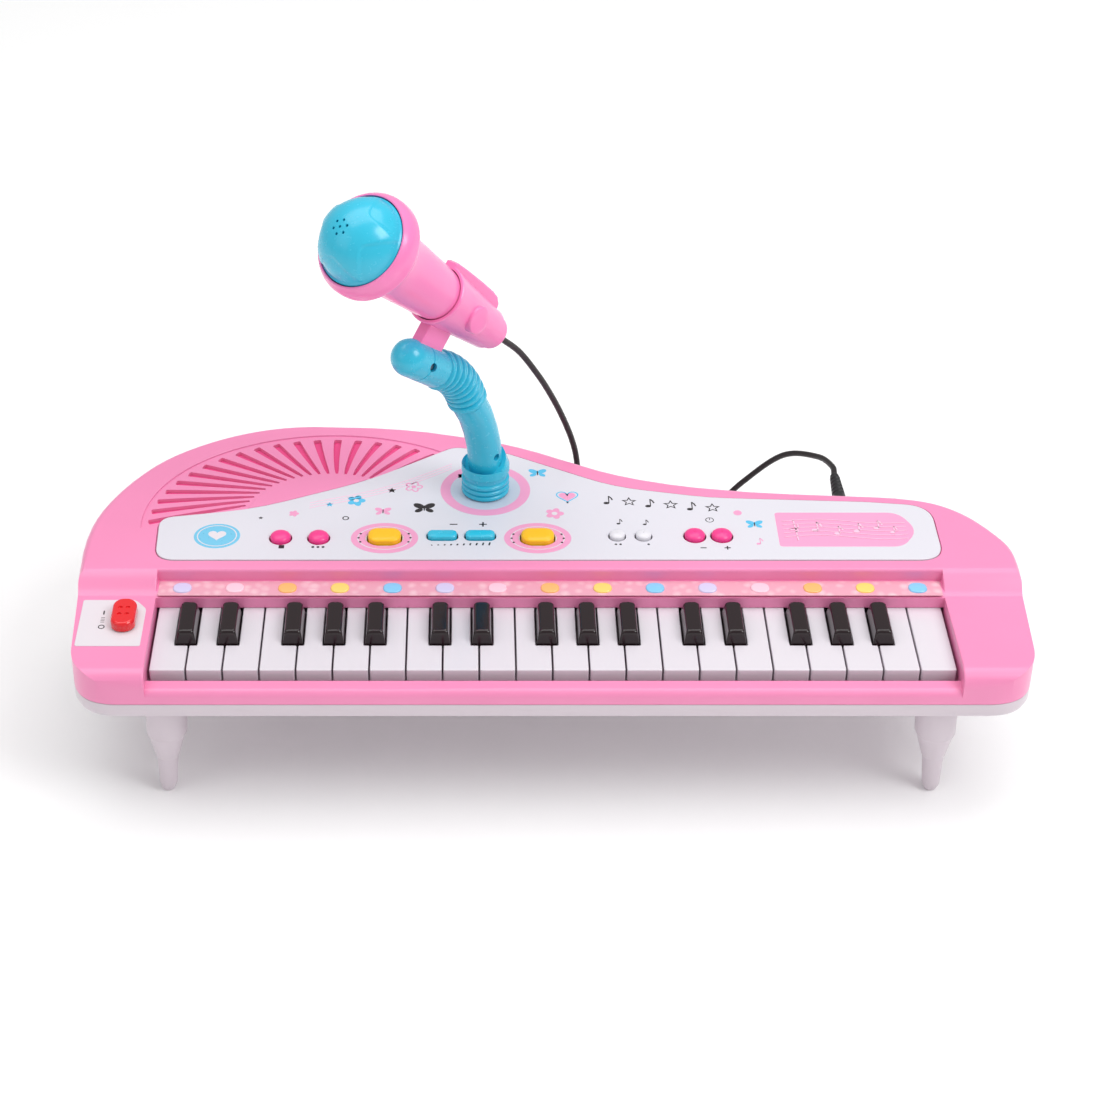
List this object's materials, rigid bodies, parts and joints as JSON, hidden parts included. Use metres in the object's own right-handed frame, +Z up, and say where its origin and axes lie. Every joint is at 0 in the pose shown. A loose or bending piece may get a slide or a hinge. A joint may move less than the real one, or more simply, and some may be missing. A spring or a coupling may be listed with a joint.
{
  "type": "toy electronic keyboard",
  "caption": "Toy electronic keyboard with a piano-shaped case on short legs, hinged keys, panel buttons, and a microphone clipped on a bent stand with its lead.",
  "frame": {"origin": "on the floor under the middle of the case, at the level of the feet", "axes": "+X along the keys towards the high notes, +Y away from the player, +Z up"},
  "size_m": [0.4357, 0.2474, 0.2708],
  "materials": {
    "pink_shell": "gloss",
    "white_shell": "gloss",
    "ivory": "gloss",
    "ebony": "gloss",
    "aqua": "gloss",
    "rose": "gloss",
    "yellow": "gloss",
    "red": "gloss",
    "cord_black": "satin",
    "board": "matte",
    "speaker_metal": "satin"
  },
  "bodies": {
    "case": {"upper_case": "pink_shell", "lower_case": "white_shell", "control_panel": "white_shell", "circuit_board": "board", "speaker": "speaker_metal", "leg_front_left": "white_shell", "leg_front_right": "white_shell", "leg_rear_left": "white_shell", "leg_rear_right": "white_shell", "mic_cord": "cord_black", "mic_plug": "cord_black"},
    "white_key_01": {"white_key_01": "ivory"},
    "white_key_02": {"white_key_02": "ivory"},
    "white_key_03": {"white_key_03": "ivory"},
    "white_key_04": {"white_key_04": "ivory"},
    "white_key_05": {"white_key_05": "ivory"},
    "white_key_06": {"white_key_06": "ivory"},
    "white_key_07": {"white_key_07": "ivory"},
    "white_key_08": {"white_key_08": "ivory"},
    "white_key_09": {"white_key_09": "ivory"},
    "white_key_10": {"white_key_10": "ivory"},
    "white_key_11": {"white_key_11": "ivory"},
    "white_key_12": {"white_key_12": "ivory"},
    "white_key_13": {"white_key_13": "ivory"},
    "white_key_14": {"white_key_14": "ivory"},
    "white_key_15": {"white_key_15": "ivory"},
    "white_key_16": {"white_key_16": "ivory"},
    "white_key_17": {"white_key_17": "ivory"},
    "white_key_18": {"white_key_18": "ivory"},
    "white_key_19": {"white_key_19": "ivory"},
    "white_key_20": {"white_key_20": "ivory"},
    "white_key_21": {"white_key_21": "ivory"},
    "white_key_22": {"white_key_22": "ivory"},
    "black_key_01": {"black_key_01": "ebony"},
    "black_key_02": {"black_key_02": "ebony"},
    "black_key_03": {"black_key_03": "ebony"},
    "black_key_04": {"black_key_04": "ebony"},
    "black_key_05": {"black_key_05": "ebony"},
    "black_key_06": {"black_key_06": "ebony"},
    "black_key_07": {"black_key_07": "ebony"},
    "black_key_08": {"black_key_08": "ebony"},
    "black_key_09": {"black_key_09": "ebony"},
    "black_key_10": {"black_key_10": "ebony"},
    "black_key_11": {"black_key_11": "ebony"},
    "black_key_12": {"black_key_12": "ebony"},
    "black_key_13": {"black_key_13": "ebony"},
    "black_key_14": {"black_key_14": "ebony"},
    "black_key_15": {"black_key_15": "ebony"},
    "button_stop": {"button_stop": "rose"},
    "button_rhythm": {"button_rhythm": "rose"},
    "button_demo_left": {"button_demo_left": "yellow"},
    "button_demo_right": {"button_demo_right": "yellow"},
    "volume_rocker": {"volume_rocker": "aqua"},
    "tone_rocker": {"tone_rocker": "white_shell"},
    "tempo_rocker": {"tempo_rocker": "rose"},
    "power_switch": {"power_switch": "red"},
    "stand": {"mic_stand": "aqua", "mic_clip": "pink_shell"},
    "microphone": {"mic_body": "pink_shell", "mic_dome": "aqua"}
  },
  "joints": [
    {"name": "white_key_01_press", "type": "hinge", "parent": "case", "child": "white_key_01", "pos_m": [-0.1722, -0.0151, 0.0695], "axis": [1, 0, 0], "range_deg": [0, 3], "stiffness_Nm_per_rad": 0.3, "springref_deg": -2.29},
    {"name": "white_key_02_press", "type": "hinge", "parent": "case", "child": "white_key_02", "pos_m": [-0.1558, -0.0151, 0.0695], "axis": [1, 0, 0], "range_deg": [0, 3], "stiffness_Nm_per_rad": 0.3, "springref_deg": -2.29},
    {"name": "white_key_03_press", "type": "hinge", "parent": "case", "child": "white_key_03", "pos_m": [-0.1394, -0.0151, 0.0695], "axis": [1, 0, 0], "range_deg": [0, 3], "stiffness_Nm_per_rad": 0.3, "springref_deg": -2.29},
    {"name": "white_key_04_press", "type": "hinge", "parent": "case", "child": "white_key_04", "pos_m": [-0.123, -0.0151, 0.0695], "axis": [1, 0, 0], "range_deg": [0, 3], "stiffness_Nm_per_rad": 0.3, "springref_deg": -2.29},
    {"name": "white_key_05_press", "type": "hinge", "parent": "case", "child": "white_key_05", "pos_m": [-0.1066, -0.0151, 0.0695], "axis": [1, 0, 0], "range_deg": [0, 3], "stiffness_Nm_per_rad": 0.3, "springref_deg": -2.29},
    {"name": "white_key_06_press", "type": "hinge", "parent": "case", "child": "white_key_06", "pos_m": [-0.0902, -0.0151, 0.0695], "axis": [1, 0, 0], "range_deg": [0, 3], "stiffness_Nm_per_rad": 0.3, "springref_deg": -2.29},
    {"name": "white_key_07_press", "type": "hinge", "parent": "case", "child": "white_key_07", "pos_m": [-0.0738, -0.0151, 0.0695], "axis": [1, 0, 0], "range_deg": [0, 3], "stiffness_Nm_per_rad": 0.3, "springref_deg": -2.29},
    {"name": "white_key_08_press", "type": "hinge", "parent": "case", "child": "white_key_08", "pos_m": [-0.0574, -0.0151, 0.0695], "axis": [1, 0, 0], "range_deg": [0, 3], "stiffness_Nm_per_rad": 0.3, "springref_deg": -2.29},
    {"name": "white_key_09_press", "type": "hinge", "parent": "case", "child": "white_key_09", "pos_m": [-0.041, -0.0151, 0.0695], "axis": [1, 0, 0], "range_deg": [0, 3], "stiffness_Nm_per_rad": 0.3, "springref_deg": -2.29},
    {"name": "white_key_10_press", "type": "hinge", "parent": "case", "child": "white_key_10", "pos_m": [-0.0246, -0.0151, 0.0695], "axis": [1, 0, 0], "range_deg": [0, 3], "stiffness_Nm_per_rad": 0.3, "springref_deg": -2.29},
    {"name": "white_key_11_press", "type": "hinge", "parent": "case", "child": "white_key_11", "pos_m": [-0.0082, -0.0151, 0.0695], "axis": [1, 0, 0], "range_deg": [0, 3], "stiffness_Nm_per_rad": 0.3, "springref_deg": -2.29},
    {"name": "white_key_12_press", "type": "hinge", "parent": "case", "child": "white_key_12", "pos_m": [0.0082, -0.0151, 0.0695], "axis": [1, 0, 0], "range_deg": [0, 3], "stiffness_Nm_per_rad": 0.3, "springref_deg": -2.29},
    {"name": "white_key_13_press", "type": "hinge", "parent": "case", "child": "white_key_13", "pos_m": [0.0246, -0.0151, 0.0695], "axis": [1, 0, 0], "range_deg": [0, 3], "stiffness_Nm_per_rad": 0.3, "springref_deg": -2.29},
    {"name": "white_key_14_press", "type": "hinge", "parent": "case", "child": "white_key_14", "pos_m": [0.041, -0.0151, 0.0695], "axis": [1, 0, 0], "range_deg": [0, 3], "stiffness_Nm_per_rad": 0.3, "springref_deg": -2.29},
    {"name": "white_key_15_press", "type": "hinge", "parent": "case", "child": "white_key_15", "pos_m": [0.0574, -0.0151, 0.0695], "axis": [1, 0, 0], "range_deg": [0, 3], "stiffness_Nm_per_rad": 0.3, "springref_deg": -2.29},
    {"name": "white_key_16_press", "type": "hinge", "parent": "case", "child": "white_key_16", "pos_m": [0.0738, -0.0151, 0.0695], "axis": [1, 0, 0], "range_deg": [0, 3], "stiffness_Nm_per_rad": 0.3, "springref_deg": -2.29},
    {"name": "white_key_17_press", "type": "hinge", "parent": "case", "child": "white_key_17", "pos_m": [0.0902, -0.0151, 0.0695], "axis": [1, 0, 0], "range_deg": [0, 3], "stiffness_Nm_per_rad": 0.3, "springref_deg": -2.29},
    {"name": "white_key_18_press", "type": "hinge", "parent": "case", "child": "white_key_18", "pos_m": [0.1066, -0.0151, 0.0695], "axis": [1, 0, 0], "range_deg": [0, 3], "stiffness_Nm_per_rad": 0.3, "springref_deg": -2.29},
    {"name": "white_key_19_press", "type": "hinge", "parent": "case", "child": "white_key_19", "pos_m": [0.123, -0.0151, 0.0695], "axis": [1, 0, 0], "range_deg": [0, 3], "stiffness_Nm_per_rad": 0.3, "springref_deg": -2.29},
    {"name": "white_key_20_press", "type": "hinge", "parent": "case", "child": "white_key_20", "pos_m": [0.1394, -0.0151, 0.0695], "axis": [1, 0, 0], "range_deg": [0, 3], "stiffness_Nm_per_rad": 0.3, "springref_deg": -2.29},
    {"name": "white_key_21_press", "type": "hinge", "parent": "case", "child": "white_key_21", "pos_m": [0.1558, -0.0151, 0.0695], "axis": [1, 0, 0], "range_deg": [0, 3], "stiffness_Nm_per_rad": 0.3, "springref_deg": -2.29},
    {"name": "white_key_22_press", "type": "hinge", "parent": "case", "child": "white_key_22", "pos_m": [0.1722, -0.0151, 0.0695], "axis": [1, 0, 0], "range_deg": [0, 3], "stiffness_Nm_per_rad": 0.3, "springref_deg": -2.29},
    {"name": "black_key_01_press", "type": "hinge", "parent": "case", "child": "black_key_01", "pos_m": [-0.1653, -0.0151, 0.0695], "axis": [1, 0, 0], "range_deg": [0, 2.6], "stiffness_Nm_per_rad": 0.3, "springref_deg": -2.29},
    {"name": "black_key_02_press", "type": "hinge", "parent": "case", "child": "black_key_02", "pos_m": [-0.1463, -0.0151, 0.0695], "axis": [1, 0, 0], "range_deg": [0, 2.6], "stiffness_Nm_per_rad": 0.3, "springref_deg": -2.29},
    {"name": "black_key_03_press", "type": "hinge", "parent": "case", "child": "black_key_03", "pos_m": [-0.117, -0.0151, 0.0695], "axis": [1, 0, 0], "range_deg": [0, 2.6], "stiffness_Nm_per_rad": 0.3, "springref_deg": -2.29},
    {"name": "black_key_04_press", "type": "hinge", "parent": "case", "child": "black_key_04", "pos_m": [-0.0984, -0.0151, 0.0695], "axis": [1, 0, 0], "range_deg": [0, 2.6], "stiffness_Nm_per_rad": 0.3, "springref_deg": -2.29},
    {"name": "black_key_05_press", "type": "hinge", "parent": "case", "child": "black_key_05", "pos_m": [-0.0798, -0.0151, 0.0695], "axis": [1, 0, 0], "range_deg": [0, 2.6], "stiffness_Nm_per_rad": 0.3, "springref_deg": -2.29},
    {"name": "black_key_06_press", "type": "hinge", "parent": "case", "child": "black_key_06", "pos_m": [-0.0505, -0.0151, 0.0695], "axis": [1, 0, 0], "range_deg": [0, 2.6], "stiffness_Nm_per_rad": 0.3, "springref_deg": -2.29},
    {"name": "black_key_07_press", "type": "hinge", "parent": "case", "child": "black_key_07", "pos_m": [-0.0315, -0.0151, 0.0695], "axis": [1, 0, 0], "range_deg": [0, 2.6], "stiffness_Nm_per_rad": 0.3, "springref_deg": -2.29},
    {"name": "black_key_08_press", "type": "hinge", "parent": "case", "child": "black_key_08", "pos_m": [-0.0022, -0.0151, 0.0695], "axis": [1, 0, 0], "range_deg": [0, 2.6], "stiffness_Nm_per_rad": 0.3, "springref_deg": -2.29},
    {"name": "black_key_09_press", "type": "hinge", "parent": "case", "child": "black_key_09", "pos_m": [0.0164, -0.0151, 0.0695], "axis": [1, 0, 0], "range_deg": [0, 2.6], "stiffness_Nm_per_rad": 0.3, "springref_deg": -2.29},
    {"name": "black_key_10_press", "type": "hinge", "parent": "case", "child": "black_key_10", "pos_m": [0.035, -0.0151, 0.0695], "axis": [1, 0, 0], "range_deg": [0, 2.6], "stiffness_Nm_per_rad": 0.3, "springref_deg": -2.29},
    {"name": "black_key_11_press", "type": "hinge", "parent": "case", "child": "black_key_11", "pos_m": [0.0643, -0.0151, 0.0695], "axis": [1, 0, 0], "range_deg": [0, 2.6], "stiffness_Nm_per_rad": 0.3, "springref_deg": -2.29},
    {"name": "black_key_12_press", "type": "hinge", "parent": "case", "child": "black_key_12", "pos_m": [0.0833, -0.0151, 0.0695], "axis": [1, 0, 0], "range_deg": [0, 2.6], "stiffness_Nm_per_rad": 0.3, "springref_deg": -2.29},
    {"name": "black_key_13_press", "type": "hinge", "parent": "case", "child": "black_key_13", "pos_m": [0.1126, -0.0151, 0.0695], "axis": [1, 0, 0], "range_deg": [0, 2.6], "stiffness_Nm_per_rad": 0.3, "springref_deg": -2.29},
    {"name": "black_key_14_press", "type": "hinge", "parent": "case", "child": "black_key_14", "pos_m": [0.1312, -0.0151, 0.0695], "axis": [1, 0, 0], "range_deg": [0, 2.6], "stiffness_Nm_per_rad": 0.3, "springref_deg": -2.29},
    {"name": "black_key_15_press", "type": "hinge", "parent": "case", "child": "black_key_15", "pos_m": [0.1498, -0.0151, 0.0695], "axis": [1, 0, 0], "range_deg": [0, 2.6], "stiffness_Nm_per_rad": 0.3, "springref_deg": -2.29},
    {"name": "button_stop_press", "type": "slide", "parent": "case", "child": "button_stop", "axis": [0, 0, -1], "range_m": [0, 0.0015], "stiffness_N_per_m": 300, "springref_m": -0.0008},
    {"name": "button_rhythm_press", "type": "slide", "parent": "case", "child": "button_rhythm", "axis": [0, 0, -1], "range_m": [0, 0.0015], "stiffness_N_per_m": 300, "springref_m": -0.0008},
    {"name": "button_demo_left_press", "type": "slide", "parent": "case", "child": "button_demo_left", "axis": [0, 0, -1], "range_m": [0, 0.0015], "stiffness_N_per_m": 300, "springref_m": -0.0008},
    {"name": "button_demo_right_press", "type": "slide", "parent": "case", "child": "button_demo_right", "axis": [0, 0, -1], "range_m": [0, 0.0015], "stiffness_N_per_m": 300, "springref_m": -0.0008},
    {"name": "volume_rocker_tilt", "type": "hinge", "parent": "case", "child": "volume_rocker", "pos_m": [-0.04098, -0.0009, 0.0786], "axis": [0, 1, 0], "range_deg": [-3, 3], "stiffness_Nm_per_rad": 0.05},
    {"name": "tone_rocker_tilt", "type": "hinge", "parent": "case", "child": "tone_rocker", "pos_m": [0.03848, -0.0009, 0.0786], "axis": [0, 1, 0], "range_deg": [-3, 3], "stiffness_Nm_per_rad": 0.05},
    {"name": "tempo_rocker_tilt", "type": "hinge", "parent": "case", "child": "tempo_rocker", "pos_m": [0.0751, -0.0009, 0.0786], "axis": [0, 1, 0], "range_deg": [-3, 3], "stiffness_Nm_per_rad": 0.05},
    {"name": "power_switch_slide", "type": "slide", "parent": "case", "child": "power_switch", "axis": [0, 1, 0], "range_m": [-0.002, 0.002]},
    {"name": "stand_swivel", "type": "hinge", "parent": "case", "child": "stand", "pos_m": [-0.02943, 0.03765, 0.085], "axis": [0, 0, 1], "range_deg": [-45, 45], "deforming": ["mic_cord"]},
    {"name": "mic_lift_out", "type": "slide", "parent": "stand", "child": "microphone", "axis": [-0.4871, -0.526, 0.6972], "range_m": [0, 0.06]}
  ]
}
